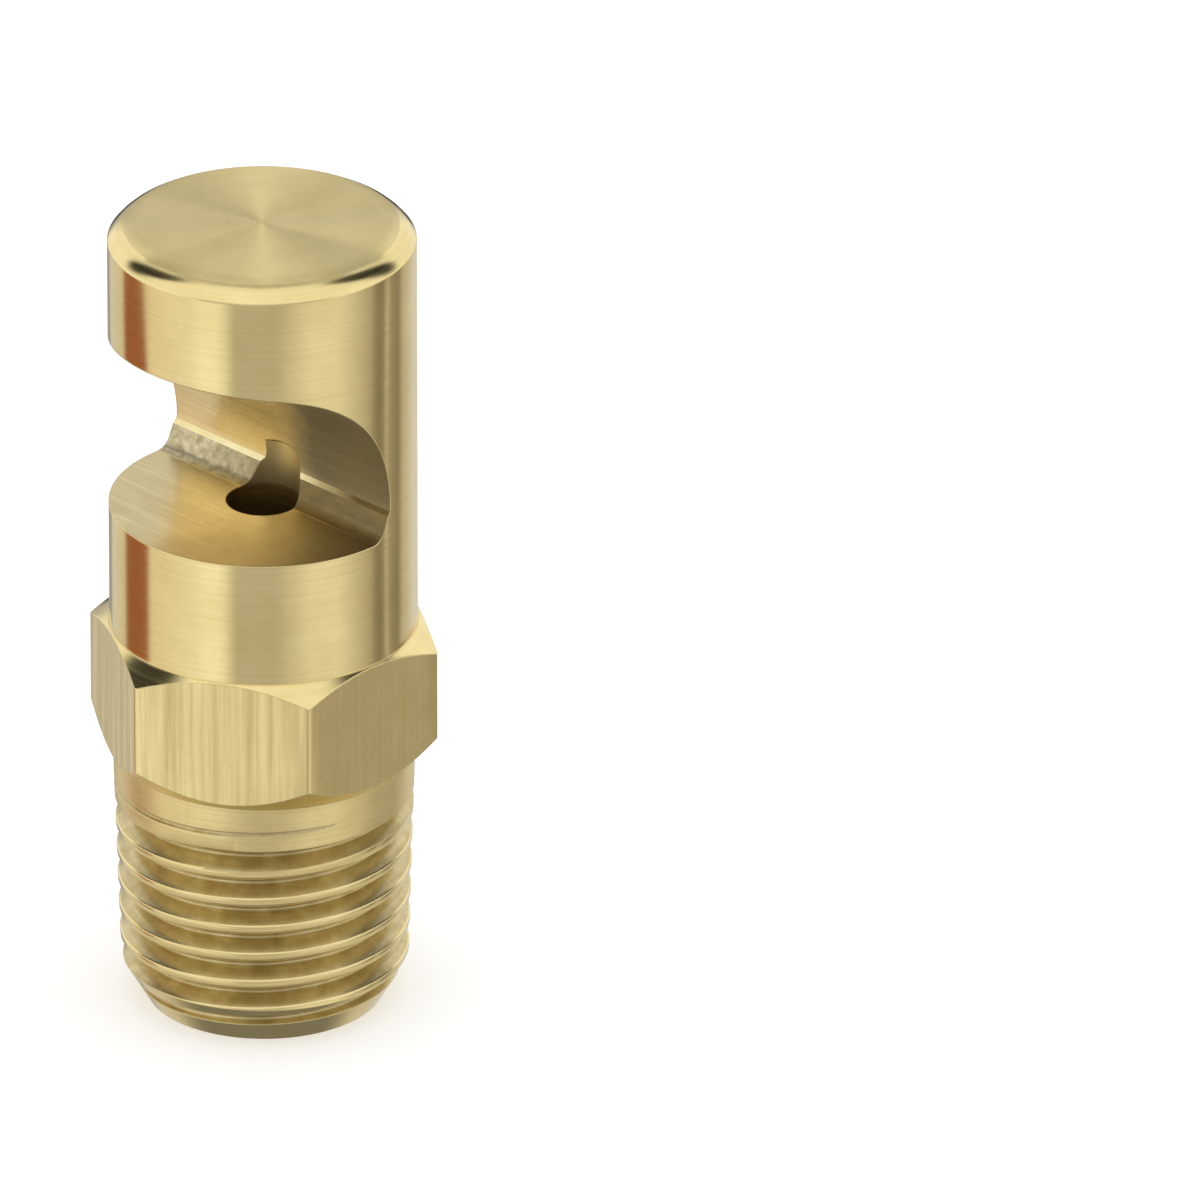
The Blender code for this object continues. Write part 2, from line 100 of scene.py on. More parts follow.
def metalFinish(name, finish, lay):
    material = bpy.data.materials.new(name)
    material.use_nodes = True
    tree = material.node_tree
    shader = tree.nodes["Principled BSDF"]
    shader.inputs["Metallic"].default_value = 1
    shader.inputs["Anisotropic"].default_value = finish["fan"]
    place = addNode(tree, "ShaderNodeTexCoord").outputs["Object"]
    normal = addNode(tree, "ShaderNodeNewGeometry").outputs["Normal"]
    lines, drawnOut = lay(tree, place, normal, finish)
    patches = addNode(tree, "ShaderNodeTexNoise", {"Vector": place},
                      {"Scale": 1 / (finish["patch"] * mm), "Detail": 4, "Roughness": 0.6})
    low, high = finish["cloudEdges"]
    clouded = addNode(tree, "ShaderNodeMapRange", {0: patches.outputs["Fac"]}, {1: low, 2: high})
    tone = addNode(tree, "ShaderNodeMix", {0: clouded.outputs[0]},
                   {6: linear(finish["bright"]), 7: linear(finish["dull"])}, data_type="RGBA")
    low, high = finish["glossEdges"]
    gloss = addNode(tree, "ShaderNodeMapRange", {0: lines.outputs["Fac"]},
                    {1: low, 2: high, 3: finish["rough"][0], 4: finish["rough"][1]})
    if "darkTone" in finish:        # darker and duller towards the slot's right end; on the slot's wall the darker colour is painted shade
        plainEnd, darkEnd = finish["darkReach"]
        along = addNode(tree, "ShaderNodeSeparateXYZ", {0: place})
        ragged = addNode(tree, "ShaderNodeMath", {0: patches.outputs["Fac"], 2: along.outputs["X"]},
                         {1: finish["patch"] * mm}, operation="MULTIPLY_ADD")
        # how far the darkening has come in: on the slot's wall this is painted shade
        darkShare = addNode(tree, "ShaderNodeMapRange", {0: ragged.outputs[0]},
                       {1: plainEnd * mm, 2: darkEnd * mm})
        tone = addNode(tree, "ShaderNodeMix", {0: darkShare.outputs[0], 6: tone.outputs[2]},
                       {7: linear(finish["darkTone"])}, data_type="RGBA")
        gloss = addNode(tree, "ShaderNodeMix", {0: darkShare.outputs[0], 2: gloss.outputs[0]},
                        {3: finish["darkRough"]})
    low, high = finish["scoreEdges"]
    scored = addNode(tree, "ShaderNodeMapRange", {0: lines.outputs["Fac"]},
                     {1: low, 2: high, 3: 0, 4: finish["score"]})
    tint = addNode(tree, "ShaderNodeMix", {0: scored.outputs[0], 6: tone.outputs[2]},
                   {7: linear(finish["groove"])}, data_type="RGBA")
    corner = addNode(tree, "ShaderNodeBevel", values={"Radius": finish["edge"] * mm}, samples=6)
    relief = addNode(tree, "ShaderNodeBump", {"Height": lines.outputs["Fac"], "Normal": corner.outputs[0]},
                     {"Strength": 1, "Distance": finish["depth"] * mm})
    tree.links.new(tint.outputs[2], shader.inputs["Base Color"])
    tree.links.new(gloss.outputs[0], shader.inputs["Roughness"])
    tree.links.new(relief.outputs[0], shader.inputs["Normal"])
    tree.links.new(drawnOut.outputs[0], shader.inputs["Tangent"])
    return material


# Free-machining brass: a pale greenish gold, bright where the tool was sharp. Lengths are in mm, and
# the edges are the noise levels between which a pattern comes in.
brass = {"bright": "#F8E4A6", "dull": "#EEDA9B", "groove": "#CDB16B", "score": 0.2, "patch": 2.5, "fan": 0.5,
         "rough": (0.1, 0.18), "edge": 0.1, "run": 40, "line": 0.16, "depth": 0.0006,
         "cloudEdges": (0.35, 0.7), "glossEdges": (0.3, 0.7), "scoreEdges": (0.35, 0.75)}
steel = {**brass, "bright": "#C9C6C0", "dull": "#B5B2AC", "groove": "#8E8B86", "rough": (0.16, 0.28)}
finishes = {
    # smooth turned cylinder: crisp upright reflections, with fine rings in the dull bands
    "turned": metalFinish("free_machining_brass_turned", brass, turnedLay),
    # faced end: rings of the same cut, which fan the light out into streaks from the centre
    "faced": metalFinish("free_machining_brass_faced",
                         {**brass, "line": 0.1, "depth": 0.00006, "score": 0.1, "fan": 1,
                          "rough": (0.28, 0.31)}, facedLay),
    # drawn hex bar: upright streaks and a slightly dull skin that no tool has touched
    "drawn": metalFinish("free_machining_brass_drawn",
                         {**brass, "line": 0.3, "run": 9, "depth": 0.005, "rough": (0.2, 0.36), "fan": 0.3,
                          "score": 0.45, "groove": "#BFA764"},
                         drawnLay),
    # milled slot: streaks along the cut, paler where the cutter rubbed, and darker towards the right end,
    # which is painted shade
    "milled": metalFinish("free_machining_brass_milled",
                          {**brass, "bright": "#F8E2AE", "dull": "#EFD69A", "groove": "#DCC78C", "line": 0.24,
                           "run": 5, "depth": 0.003, "rough": (0.2, 0.34), "darkTone": "#988D6C",
                           "darkReach": (0.9, 3.6), "darkRough": 0.55}, milledLay),
    # slot floor: the same streaks, darker and duller towards the right
    "floor": metalFinish("free_machining_brass_milled_floor",
                         {**brass, "bright": "#F3E2B0", "dull": "#E8D4A0", "line": 0.3, "run": 6,
                          "depth": 0.003, "rough": (0.24, 0.38), "darkTone": "#94825A", "darkReach": (1, 9),
                          "darkRough": 0.42}, milledLay),
    # burnished line along the slot, where the cutter's corner ran
    "burnished": metalFinish("free_machining_brass_burnished",
                             {**brass, "bright": "#FFF2BE", "dull": "#F6E3A4", "score": 0.1, "line": 0.4,
                              "run": 2, "rough": (0.16, 0.24), "darkTone": "#6E5D36", "darkReach": (2, 6),
                              "darkRough": 0.4}, milledLay),
    # rough milled strip at the foot of the slot's wall: greyer and torn
    "torn": metalFinish("free_machining_brass_rough_milled",
                        {**brass, "bright": "#E6DBB6", "dull": "#A4966F", "patch": 0.4, "line": 0.3,
                         "run": 0.8, "depth": 0.02, "rough": (0.3, 0.45), "fan": 0, "darkTone": "#857550",
                         "darkReach": (-5, 2), "darkRough": 0.5}, milledLay),
    # die-cut flanks: darker and torn a little by the die
    "threaded": metalFinish("free_machining_brass_die_cut",
                            {**brass, "bright": "#DECD9B", "dull": "#C4B07C", "groove": "#A08C56",
                             "rough": (0.22, 0.36), "patch": 0.9, "fan": 0.2}, turnedLay),
    # plain neck above the thread: rubbed dull where the die ran out
    "rubbed": metalFinish("free_machining_brass_rubbed",
                          {**brass, "rough": (0.3, 0.44), "patch": 1.2, "fan": 0.2}, turnedLay),
    # outlet hole where it runs up into the slot's wall
    "reamed": metalFinish("free_machining_brass_reamed",
                          {**brass, "bright": "#E0CD97", "dull": "#CDB981", "rough": (0.4, 0.5), "fan": 0},
                          turnedLay),
    # drilled and tapped bores: dull, and darker in colour as painted shade deep in the holes
    "drilled": metalFinish("free_machining_brass_drilled",
                           {**brass, "bright": "#C2A667", "dull": "#9A8048", "rough": (0.35, 0.5), "fan": 0},
                           turnedLay),
    # lapped stainless disc: grey and bright, with hardly a line
    "lapped": metalFinish("stainless_steel_lapped", {**steel, "line": 0.3, "depth": 0.0005}, facedLay),
    # drawn stainless sleeve and wire
    "sleeve": metalFinish("stainless_steel_drawn", {**steel, "line": 0.2, "run": 6}, drawnLay),
    # annealed copper washer: soft, dull and a little dark
    "annealed": metalFinish("copper_annealed",
                            {**brass, "bright": "#D99A78", "dull": "#B9755A", "groove": "#8C5440", "fan": 0,
                             "rough": (0.3, 0.42)}, facedLay),
}
print("finishes", len(finishes))


# Blanks and cuts

def turned(profile, sides):        # (radius, height) or (radius, height, edge radius) in mm, about Z
    bm = bmesh.new()
    verts = [bm.verts.new((point[0] * mm, 0, point[1] * mm)) for point in profile]
    for pair in zip(verts, verts[1:]):
        bm.edges.new(pair)
    if profile[0][0] > 0:
        bm.edges.new((verts[-1], verts[0]))
    for vert, point in zip(verts, profile):
        if len(point) == 3:
            bmesh.ops.bevel(bm, geom=[vert], offset=point[2] * mm, affect="VERTICES", segments=4,
                            profile=0.5, material=-1)
    bmesh.ops.spin(bm, geom=bm.verts[:] + bm.edges[:], cent=(0, 0, 0), axis=(0, 0, 1), angle=math.tau,
                   steps=sides, use_merge=True)
    return bm


def swept(corners, sweep):        # a flat ring of corners in mm, extruded along a vector in mm
    bm = bmesh.new()
    face = bm.faces.new([bm.verts.new(Vector(corner) * mm) for corner in corners])
    grown = bmesh.ops.extrude_face_region(bm, geom=[face])["geom"]
    far = [item for item in grown if isinstance(item, bmesh.types.BMVert)]
    bmesh.ops.translate(bm, vec=Vector(sweep) * mm, verts=far)
    return bm


def arc(centre, radius, start, end, steps):
    for k in range(steps + 1):
        angle = start + (end - start) * k / steps
        yield centre[0] + radius * math.cos(angle), centre[1] + radius * math.sin(angle)


def asObject(name, bm, materials, pick=None):
    bmesh.ops.remove_doubles(bm, verts=bm.verts, dist=1e-7)
    bmesh.ops.recalc_face_normals(bm, faces=bm.faces)
    if pick:
        for face in bm.faces:
            face.material_index = pick(face)
    mesh = bpy.data.meshes.new(name)
    bm.to_mesh(mesh)
    bm.free()
    for material in materials:
        mesh.materials.append(finishes[material])
    obj = bpy.data.objects.new(name, mesh)
    bpy.context.scene.collection.objects.link(obj)
    return obj


def machine(blank, tool, operation="DIFFERENCE"):        # one cut or join, then the tool is cleared away
    cut = blank.modifiers.new("cut", "BOOLEAN")
    cut.operation = operation
    cut.solver = "EXACT"
    cut.material_mode = "TRANSFER"
    cut.object = tool
    depsgraph = bpy.context.evaluated_depsgraph_get()
    worked = bpy.data.meshes.new_from_object(blank.evaluated_get(depsgraph))
    blank.modifiers.clear()
    blank.data = worked
    bpy.data.objects.remove(tool)


def fitted(obj, node):        # closes a finished piece and lets it stand for its solid
    bm = bmesh.new()
    bm.from_mesh(obj.data)
    bmesh.ops.remove_doubles(bm, verts=bm.verts, dist=2e-7)
    bmesh.ops.dissolve_degenerate(bm, edges=bm.edges, dist=2e-7)
    bm.to_mesh(obj.data)
    bm.free()
    obj.data.shade_smooth()
    obj.data.set_sharp_from_angle(angle=math.radians(25))
    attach(obj, "root")
    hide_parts(node)
    print("piece", obj.name, len(obj.data.polygons), "faces")


# Body: one turned, milled and threaded bar, in mm and degrees
body = {
    "sides": 288, "threadSides": 144, "toolTurn": 0.37, "margin": 0.6, "flankMargin": 0.04,
    "flatFacing": 0.94,
    "shank": 12.4, "hex": 6.4, "foot": 6.0, "neck": 1.1, "inletChamfer": 2.0, "inletAngle": 30,
    "headRadius": 7.05, "headChamfer": 0.7, "headFall": 0.82, "rimEdge": 0.04, "topEdge": 0.7,
    "ledge": 0.05, "hexTopAngle": 35, "hexUnderAngle": 45, "hexCorner": 0.12,
    "pitch": 25.4 / 18, "crestRadius": 6.54, "taper": 1 / 16, "threadDepth": 0.8, "runOut": 1.2,
    "crestFlat": 0.26, "crestFall": 0.03, "crestSlope": 25, "crestRound": 0.06,
    "stripFoot": 0.65, "stripTop": 1.1, "stripHeight": 1.12, "stripFillet": 0.8, "stripShare": 0.02,
    "step": 0.2, "bandHeight": 0.2, "bandShare": 0.85, "filletSteps": 16, "curveSteps": 64,
    "deflectorStart": 1.52, "deflectorRadius": 6.85, "lipAngle": 9,
    "outletRadius": 1.7, "outletLength": 5.4, "outletOverrun": 2.2, "drillAngle": 59,
    "tappedRadius": 4.0, "tappedPitch": 1.0, "tappedCrest": 0.2, "tappedRoot": 0.18, "boreGap": 0.1,
    "boreChamfer": 0.3, "boreShoulder": 12.2, "tapEnd": 18.1,
}


flankSlope = math.tan(math.radians(30))        # half of a 60 degree thread


def tappedDepth(b):
    return (b["tappedPitch"] - b["tappedCrest"] - b["tappedRoot"]) / 2 / flankSlope


def sharpGroove(b, tipFlat, depth):        # half of a groove: distance from its tip, half width
    flank = depth + b["flankMargin"]
    mouth = tipFlat / 2 + flank * flankSlope
    return [(0, tipFlat / 2), (flank, mouth), (flank + b["margin"], mouth)]


def pipeGroove(b):        # the same with its crests worn round
    knee = b["threadDepth"] - b["crestFall"]
    fall = math.tan(math.radians(b["crestSlope"]))
    land = (b["pitch"] - b["crestFlat"]) / 2
    worn = land - b["crestFall"] / fall
    mouth = land + b["flankMargin"] / fall
    return [(0, worn - knee * flankSlope), (knee, worn, b["crestRound"]),
            (b["threadDepth"] + b["flankMargin"], mouth), (b["threadDepth"] + b["margin"], mouth)]


def helixTurn(point, start, pitch):        # which turn of a helix a point lies on, in mm
    share = math.atan2(point.y, point.x) / math.tau
    return share + round((point.z - start) / pitch - share)


def helixCutter(tip, half, outward, pitch, start, turns, grow=None):
    section = half + [(away, -rise, *rounded) for away, rise, *rounded in reversed(half)]
    sides = body["threadSides"]
    bm = bmesh.new()
    verts = [bm.verts.new(Vector((tip + outward * point[0], 0, start + point[1])) * mm) for point in section]
    bm.faces.new(verts)
    for vert, point in zip(verts, section):
        if len(point) == 3:
            bmesh.ops.bevel(bm, geom=[vert], offset=point[2] * mm, affect="VERTICES", segments=3, profile=0.5,
                            material=-1)
    bmesh.ops.spin(bm, geom=bm.faces[:], cent=(0, 0, 0), axis=(0, 0, 1), dvec=(0, 0, pitch / sides * mm),
                   angle=math.tau * turns, steps=math.ceil(turns * sides))
    if grow:        # the taper and the run-out push each ring of the helix outwards
        for vert in bm.verts:
            radius = vert.co.xy.length
            vert.co.xy *= (radius + grow(helixTurn(vert.co / mm, start, pitch)) * mm) / radius
    return bm


def spinAway(bm, share):        # turns a tool by a share of its own facet, so that no edges coincide
    turn = Matrix.Rotation(math.tau * share, 3, "Z")
    bmesh.ops.rotate(bm, cent=(0, 0, 0), matrix=turn, verts=bm.verts)
    return bm


def machinedBody(b):
    low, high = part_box("nozzle_body")
    top = high.z / mm
    acrossFlats = (high.x - low.x) / mm
    hexTop = b["shank"] + b["hex"]
    floor = hexTop + b["foot"]
    seat = floor - b["outletLength"]
    crestRadius = b["crestRadius"]
    threadLength = b["shank"] - b["neck"]
    neckRadius = crestRadius + threadLength * b["taper"] / 2
    tapDepth = tappedDepth(b)
    tapMinor = b["tappedRadius"] - tapDepth
    bore = b["tappedRadius"] + b["boreGap"]
    chamferEnd = crestRadius + b["inletChamfer"] * b["taper"] / 2
    inletFace = chamferEnd - b["inletChamfer"] * math.tan(math.radians(b["inletAngle"]))
    drillEnd = floor + b["outletOverrun"]
    profile = [
        (0, drillEnd + b["outletRadius"] / math.tan(math.radians(b["drillAngle"]))),
        (b["outletRadius"], drillEnd),
        (b["outletRadius"], floor),
        (b["outletRadius"], seat),
        (tapMinor, seat),
        (tapMinor, b["boreShoulder"] + bore - tapMinor),
        (bore, b["boreShoulder"]),
        (bore, b["boreChamfer"]),
        (bore + b["boreChamfer"], 0),
        (inletFace, 0),
        (chamferEnd, b["inletChamfer"]),
        (neckRadius - b["pitch"] * b["taper"] / 2, threadLength - b["pitch"]),
        (neckRadius, threadLength),
        (neckRadius, b["shank"] + b["hex"] / 2),
        (b["headRadius"], b["shank"] + b["hex"] / 2),
        (b["headRadius"], top - b["headFall"], b["rimEdge"]),
        (b["headRadius"] - b["headChamfer"], top, b["topEdge"]),
        (0, top),
    ]

    def coreFinish(face):
        middle = face.calc_center_median() / mm
        if middle.xy.length < bore + b["boreChamfer"] and middle.z < drillEnd + b["outletRadius"]:
            return 2 if middle.z < floor else 4
        if middle.z > threadLength - b["pitch"] and middle.z < b["shank"] + b["hex"] / 2:
            return 3
        return 1 if abs(face.normal.z) > b["flatFacing"] else 0

    obj = asObject("nozzle_body_brass", turned(profile, b["sides"]),
                   ["turned", "faced", "drilled", "rubbed", "reamed"], coreFinish)

    blank = bmesh.new()
    corner = acrossFlats / 2 / math.cos(math.pi / 6)
    bmesh.ops.create_circle(blank, cap_ends=True, segments=6, radius=corner * mm)
    bmesh.ops.translate(blank, vec=(0, 0, (b["shank"] - 2 * b["margin"]) * mm), verts=blank.verts)
    grown = bmesh.ops.extrude_face_region(blank, geom=blank.faces[:])["geom"]
    far = [item for item in grown if isinstance(item, bmesh.types.BMVert)]
    bmesh.ops.translate(blank, vec=(0, 0, (b["hex"] + 4 * b["margin"]) * mm), verts=far)
    upright = [e for e in blank.edges if abs(e.verts[0].co.z - e.verts[1].co.z) > mm]
    bmesh.ops.bevel(blank, geom=upright, offset=b["hexCorner"] * mm, affect="EDGES", segments=3, profile=0.5,
                    material=-1)
    collar = asObject("hex", blank, ["drawn"])
    rim = corner + b["margin"]
    inner = neckRadius - b["margin"]
    under = math.tan(math.radians(b["hexUnderAngle"]))
    over = math.tan(math.radians(b["hexTopAngle"]))
    shoulder = b["headRadius"] + b["ledge"]
    cones = [
        (inner, b["shank"] + (inner - neckRadius) * under),
        (rim, b["shank"] + (rim - neckRadius) * under),
        (rim, hexTop - (rim - shoulder) * over),
        (shoulder, hexTop),
        (inner, hexTop),
    ]
    machine(collar, asObject("cones", spinAway(turned(cones, b["sides"]), 0.5 / b["sides"]), ["turned"]),
            "INTERSECT")
    machine(obj, collar, "UNION")

    slope = math.atan2(b["stripHeight"], b["stripTop"] - b["stripFoot"])
    foot = (b["stripFoot"] - b["stripFillet"] * math.tan(slope / 2), floor + b["stripFillet"])
    wall = b["stripTop"] + b["step"]
    reach = b["headRadius"] + b["margin"]
    lip = math.radians(b["lipAngle"])
    centre = (wall - b["deflectorRadius"], floor + b["deflectorStart"])
    curve = list(arc(centre, b["deflectorRadius"], 0, math.pi / 2 - lip, b["curveSteps"]))
    outline = [
        (-reach, floor),
        *arc(foot, b["stripFillet"], -math.pi / 2, slope - math.pi / 2, b["filletSteps"]),
        (b["stripTop"], floor + b["stripHeight"]),
        (b["stripTop"] + b["step"] * b["bandShare"], floor + b["stripHeight"] + b["bandHeight"]),
        *curve,
        (-reach, curve[-1][1] + (reach + curve[-1][0]) * math.tan(lip)),
    ]
    stripLow = floor + b["stripFillet"] * b["stripShare"]
    bandLow = floor + b["stripHeight"]

    def slotFinish(face):
        height = face.calc_center_median().z / mm
        if height < stripLow:
            return 3
        if abs(face.normal.x) > 0.5 or height > bandLow + b["bandHeight"]:
            return 0
        return 1 if height < bandLow else 2

    slot = asObject("slot", swept([(-reach, y, z) for y, z in outline], (2 * reach, 0, 0)),
                    ["milled", "torn", "burnished", "floor"], slotFinish)
    machine(obj, slot)

    start = -b["pitch"]
    turns = (threadLength - start) / b["pitch"]

    def pipeGrow(turn):
        runOut = max(0, turn - turns + b["runOut"]) / b["runOut"]
        return (start + b["pitch"] * turn) * b["taper"] / 2 + runOut * (b["threadDepth"] + b["flankMargin"])

    def threadFinish(face):        # the crests stay bright, up to where the thread runs out
        middle = face.calc_center_median() / mm
        if helixTurn(middle, start, b["pitch"]) > turns - b["runOut"]:
            return 0
        crest = crestRadius + middle.z * b["taper"] / 2
        return 1 if middle.xy.length > crest - b["crestFall"] - b["crestRound"] / 2 else 0

    rootRadius = crestRadius - b["threadDepth"]
    groove = helixCutter(rootRadius, pipeGroove(b), 1, b["pitch"], start, turns, pipeGrow)
    machine(obj, asObject("pipe_thread", spinAway(groove, b["toolTurn"] / b["threadSides"]),
                          ["threaded", "turned"], threadFinish))
    tapStart = b["boreShoulder"] - b["tappedPitch"]
    tapTurns = (b["tapEnd"] - tapStart) / b["tappedPitch"]
    tapped = sharpGroove(b, b["tappedRoot"], tapDepth)
    tap = helixCutter(b["tappedRadius"], tapped, -1, b["tappedPitch"], tapStart, tapTurns)
    machine(obj, asObject("tap", spinAway(tap, b["toolTurn"] / b["threadSides"]), ["drilled"]))
    fitted(obj, "nozzle_body")
    return obj


machinedBody(body)


def levels(node):        # a node's outer radius, lowest and highest level, in mm
    low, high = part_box(node)
    return (high.x - low.x) / 2 / mm, low.z / mm, high.z / mm


def endFaced(face):        # the flat ends of a turned piece were faced
    return 1 if abs(face.normal.z) > 0.99 else 0


# Copper washer under the metering disc
washer = {"bore": 2.0, "edge": 0.08, "sides": 96}


def pressedWasher(w):
    rim, base, top = levels("disc_washer")
    profile = [(w["bore"], base, w["edge"]), (rim, base, w["edge"]), (rim, top, w["edge"]),
               (w["bore"], top, w["edge"])]
    obj = asObject("disc_washer_copper", turned(profile, w["sides"]), ["annealed"])
    fitted(obj, "disc_washer")


# Metering disc, with the orifice on its outlet side
disc = {"countersink": 1.1, "orifice": 0.45, "orificeLength": 0.4, "edge": 0.06, "sides": 96}


def lappedDisc(d):
    rim, base, top = levels("orifice_disc")
    profile = [(d["countersink"], base, d["edge"]), (rim, base, d["edge"]), (rim, top, d["edge"]),
               (d["orifice"], top), (d["orifice"], top - d["orificeLength"])]
    obj = asObject("orifice_disc_steel", turned(profile, d["sides"]), ["lapped"])
    fitted(obj, "orifice_disc")


# Hollow lock screw, with a driver slot across its inlet end
screw = {"crest": 3.9, "bore": 1.5, "socket": 2.5, "socketDepth": 2.0, "chamfer": 0.6, "edge": 0.08,
         "slotWidth": 1.0, "slotDepth": 1.2, "rootFlat": 0.2, "sides": 144}


def threadedScrew(w, b):
    base, top = levels("lock_screw")[1:]
    profile = [
        (w["socket"], base, w["edge"]),
        (w["crest"] - w["chamfer"], base, w["edge"]),
        (w["crest"], base + w["chamfer"]),
        (w["crest"], top - w["chamfer"]),
        (w["crest"] - w["chamfer"], top, w["edge"]),
        (w["bore"], top, w["edge"]),
        (w["bore"], base + w["socketDepth"]),
        (w["socket"], base + w["socketDepth"]),
    ]
    obj = asObject("lock_screw_brass", turned(profile, w["sides"]), ["turned", "faced"],
                   endFaced)
    half, reach = w["slotWidth"] / 2, w["crest"] + b["margin"]
    corners = [(-reach, -half, base - b["margin"]), (-reach, half, base - b["margin"]),
               (-reach, half, base + w["slotDepth"]), (-reach, -half, base + w["slotDepth"])]
    machine(obj, asObject("driver_slot", swept(corners, (2 * reach, 0, 0)), ["milled"]))
    depth = tappedDepth(b)
    root = b["tappedRadius"] - depth - b["boreGap"]
    start = b["boreShoulder"] - b["tappedPitch"] / 2
    turns = (top + b["tappedPitch"] - start) / b["tappedPitch"]
    groove = helixCutter(root, sharpGroove(b, w["rootFlat"], depth), 1, b["tappedPitch"], start, turns)
    machine(obj, asObject("screw_thread", spinAway(groove, b["toolTurn"] / b["threadSides"]), ["threaded"]))
    fitted(obj, "lock_screw")


# Strainer: a flanged collar, a slotted sleeve lined with gauze, and a cap
collar = {"bore": 1.5, "spigot": 2.45, "lowerSpigot": 2.55, "spigotLength": 0.8, "thickness": 1.0,
          "edge": 0.1, "sides": 96}
sleeve = {"wall": 0.3, "endBand": 1.2, "slots": 10, "slotWidth": 0.5, "slotRound": 0.49, "edge": 0.06,
          "sides": 120, "gauzeMesh": 0.25, "gauzeWire": 0.07}        # a real gauze is finer than shows
cap = {"spigot": 2.55, "thickness": 0.9, "rim": 0.3, "edge": 0.08, "sides": 96}


def turnedCollar(c):
    flange, base, top = levels("strainer_collar")
    foot = base + c["spigotLength"]
    profile = [
        (c["bore"], base, c["edge"]),
        (c["lowerSpigot"], base, c["edge"]),
        (c["lowerSpigot"], foot),
        (flange, foot, c["edge"]),
        (flange, foot + c["thickness"], c["edge"]),
        (c["spigot"], foot + c["thickness"]),
        (c["spigot"], top, c["edge"]),
        (c["bore"], top, c["edge"]),
    ]
    obj = asObject("strainer_collar_brass", turned(profile, c["sides"]), ["turned", "faced"],
                   endFaced)
    fitted(obj, "strainer_collar")


def slottedSleeve(v):
    rim, base, top = levels("strainer_screen")
    inner = rim - v["wall"]
    profile = [(inner, base, v["edge"]), (rim, base, v["edge"]), (rim, top, v["edge"]),
               (inner, top, v["edge"])]
    obj = asObject("strainer_screen_steel", turned(profile, v["sides"]), ["sleeve"])
    length = top - base - 2 * v["endBand"]
    slots = bmesh.new()
    bmesh.ops.create_cube(slots, size=mm, matrix=Matrix.Diagonal((4 * v["wall"], v["slotWidth"], length, 1)))
    ends = [e for e in slots.edges if abs(e.verts[0].co.x - e.verts[1].co.x) > v["wall"] * mm]
    bmesh.ops.bevel(slots, geom=ends, offset=v["slotWidth"] * v["slotRound"] * mm, affect="EDGES",
                    segments=6, profile=0.5, material=-1)
    wallMiddle = rim - v["wall"] / 2
    bmesh.ops.translate(slots, vec=Vector((wallMiddle, 0, (base + top) / 2)) * mm, verts=slots.verts)
    bmesh.ops.spin(slots, geom=slots.faces[:], cent=(0, 0, 0), axis=(0, 0, 1), angle=math.tau,
                   steps=v["slots"], use_duplicate=True)
    machine(obj, asObject("sleeve_slots", slots, ["sleeve"]))
    gauze = bmesh.new()
    around = round(math.tau * inner / v["gauzeMesh"])
    middle = Matrix.Translation((0, 0, (base + top) / 2 * mm))
    bmesh.ops.create_cone(gauze, segments=around, radius1=wallMiddle * mm, radius2=wallMiddle * mm,
                          depth=(length + v["endBand"]) * mm, matrix=middle)
    upright = [e for e in gauze.edges if abs(e.verts[0].co.z - e.verts[1].co.z) > mm]
    bmesh.ops.subdivide_edges(gauze, edges=upright, cuts=round(length / v["gauzeMesh"]), use_grid_fill=True)
    bmesh.ops.wireframe(gauze, faces=gauze.faces[:], thickness=v["gauzeWire"] * mm, use_replace=True,
                        use_boundary=True, use_even_offset=True)
    bmesh.ops.recalc_face_normals(gauze, faces=gauze.faces)
    gauze.from_mesh(obj.data)
    gauze.to_mesh(obj.data)
    gauze.free()
    fitted(obj, "strainer_screen")


def turnedCap(c):
    rim, base, top = levels("strainer_cap")
    shoulder = base + c["thickness"]
    profile = [(0, base), (rim, base, c["rim"]), (rim, shoulder, c["edge"]), (c["spigot"], shoulder),
               (c["spigot"], top, c["edge"]), (0, top)]
    obj = asObject("strainer_cap_brass", turned(profile, c["sides"]), ["turned", "faced"],
                   endFaced)
    fitted(obj, "strainer_cap")


pressedWasher(washer)
lappedDisc(disc)
threadedScrew(screw, body)
turnedCollar(collar)
slottedSleeve(sleeve)
turnedCap(cap)


# Camera: the photograph's angle, through a long lens, with the nozzle at the left of the frame
view = {"azimuth": 45, "elevation": 26.04, "distance": 1.74, "pixelsPerMm": 21.9, "frame": 1200,
        "middleHeight": 19.4, "middlePixel": (263.5, 605.7)}


def studioCamera(v):
    turn, rise = math.radians(v["azimuth"]), math.radians(v["elevation"])
    right = Vector((math.cos(turn), math.sin(turn), 0))
    back = Vector((math.sin(turn) * math.cos(rise), -math.cos(turn) * math.cos(rise), math.sin(rise)))
    up = back.cross(right)
    aside = (v["frame"] / 2 - v["middlePixel"][0]) / v["pixelsPerMm"] * mm
    above = (v["middlePixel"][1] - v["frame"] / 2) / v["pixelsPerMm"] * mm
    middle = Vector((0, 0, v["middleHeight"] * mm))
    data = bpy.data.cameras.new("camera")
    camera = bpy.data.objects.new("camera", data)
    bpy.context.scene.collection.objects.link(camera)
    camera.location = middle + right * aside + up * above + back * v["distance"]
    camera.rotation_euler = back.to_track_quat("Z", "Y").to_euler()
    data.sensor_width = 36
    data.lens = data.sensor_width * v["distance"] / (v["frame"] / v["pixelsPerMm"] * mm)
    data.clip_start, data.clip_end = 0.01, 10
    bpy.context.scene.camera = camera


studioCamera(view)


